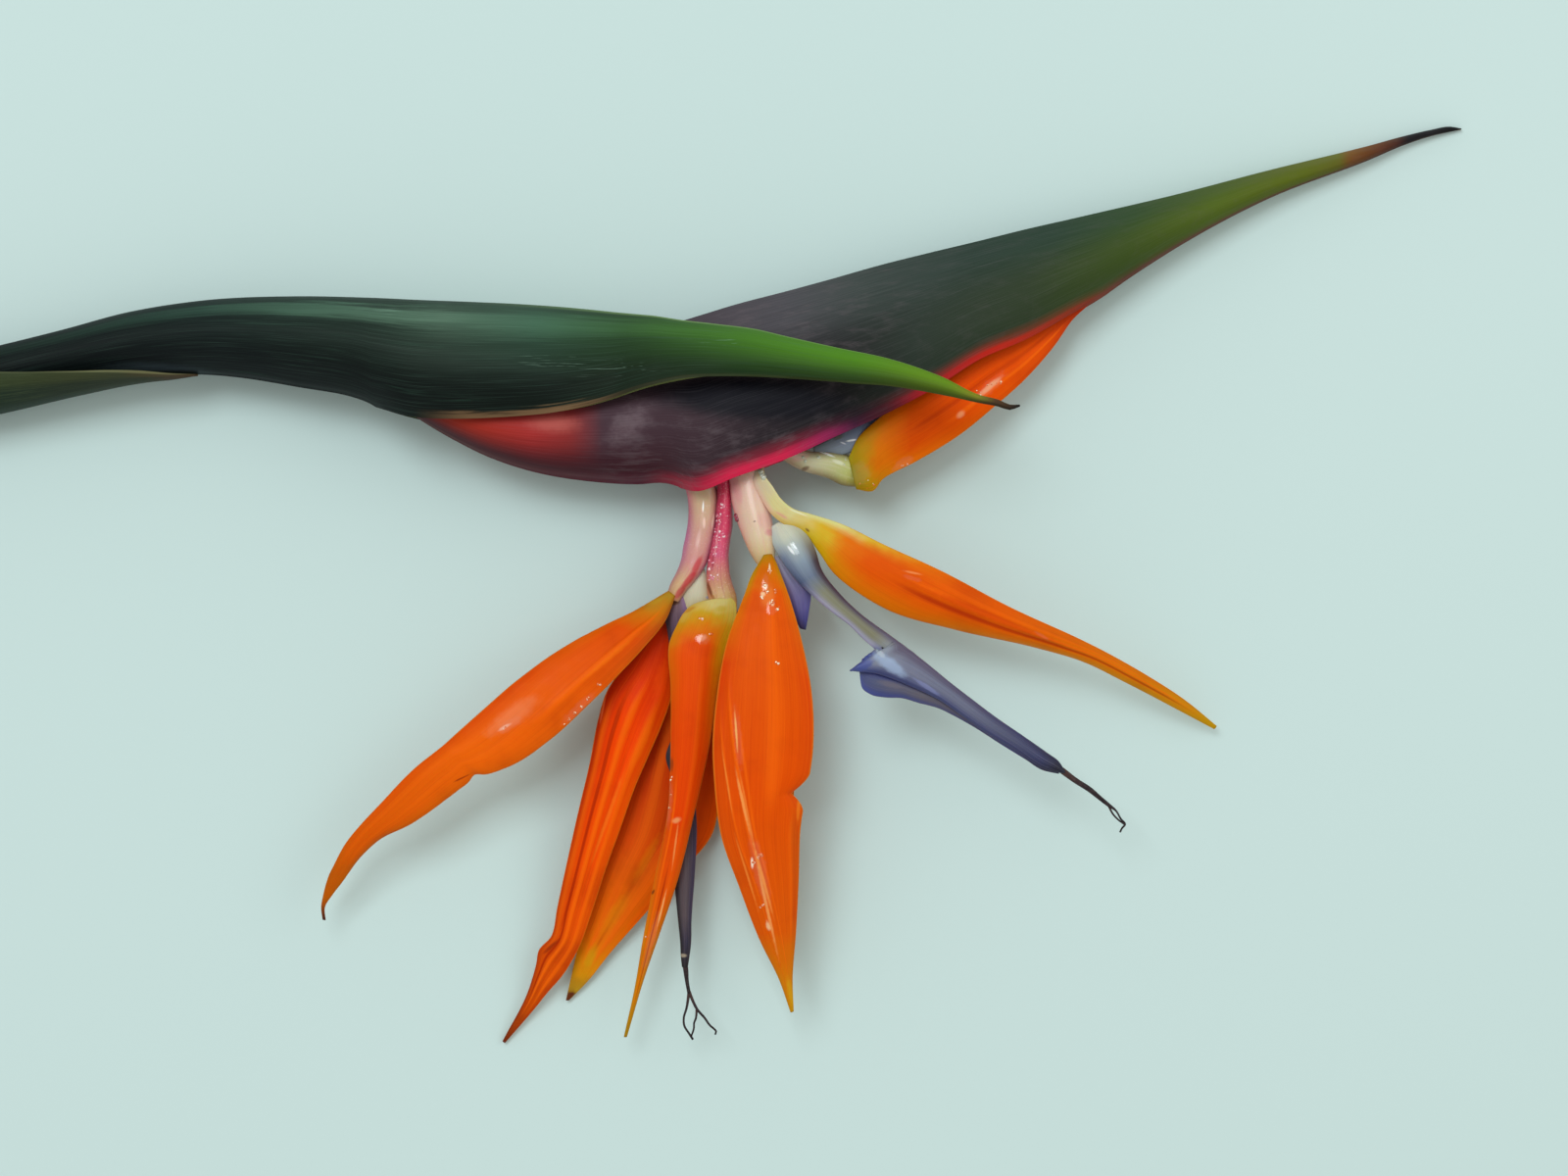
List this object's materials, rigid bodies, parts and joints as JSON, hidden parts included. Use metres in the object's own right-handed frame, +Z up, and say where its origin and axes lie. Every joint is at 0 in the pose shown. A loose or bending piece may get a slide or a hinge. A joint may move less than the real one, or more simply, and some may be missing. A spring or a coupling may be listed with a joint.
{
  "type": "bird of paradise flower",
  "caption": "Bird of paradise flower lying as cut: bare stem, beak-like folded bracts, spread orange sepals, blue-violet arrow petals and thread-like styles.",
  "frame": {"origin": "centre of the bounding box in X and Y, on the surface that the flower lies on", "axes": "+X from the cut stem towards the tip of the beak, +Z up from the surface, +Y away from the hanging sepals"},
  "size_m": [0.354, 0.1721, 0.0307],
  "materials": {
    "stem_green": "smooth, waxy",
    "sheath_olive": "dull, leathery",
    "spathe_green": "leathery with a waxy bloom",
    "spathe_purple": "leathery with a waxy bloom",
    "sepal_orange": "satin, moist",
    "petal_blue": "satin",
    "petal_dark": "dull, drying",
    "ovary_pink": "moist gloss",
    "ovary_rose": "moist, granular",
    "ovary_cream": "moist gloss",
    "style_brown": "dull, dry"
  },
  "bodies": {
    "root": {"scape": "stem_green", "stem_sheath": "sheath_olive", "outer_spathe": "spathe_green", "inner_spathe": "spathe_purple", "flower_1_ovary": "ovary_pink", "flower_1_sepal_left": "sepal_orange", "flower_1_sepal_middle": "sepal_orange", "flower_1_sepal_rear": "sepal_orange", "flower_1_arrow_petals": "petal_dark", "flower_1_hood_petal": "ovary_cream", "flower_1_style": "style_brown", "flower_2_ovary": "ovary_rose", "flower_2_sepal_front": "sepal_orange", "flower_2_sepal_left": "sepal_orange", "flower_2_sepal_rear": "sepal_orange", "flower_2_arrow_petals": "petal_dark", "flower_2_hood_petal": "petal_blue", "flower_2_style": "style_brown", "flower_3_ovary": "ovary_pink", "flower_3_sepal_front": "sepal_orange", "flower_3_sepal_right": "sepal_orange", "flower_3_sepal_rear": "sepal_orange", "flower_3_arrow_petals": "petal_blue", "flower_3_hood_petal": "petal_blue", "flower_3_style": "style_brown", "flower_4_ovary": "ovary_cream", "flower_4_sepal_front": "sepal_orange", "flower_4_sepal_rear": "sepal_orange", "flower_4_sepal_inner": "sepal_orange", "flower_4_arrow_petals": "petal_blue"}
  },
  "joints": []
}
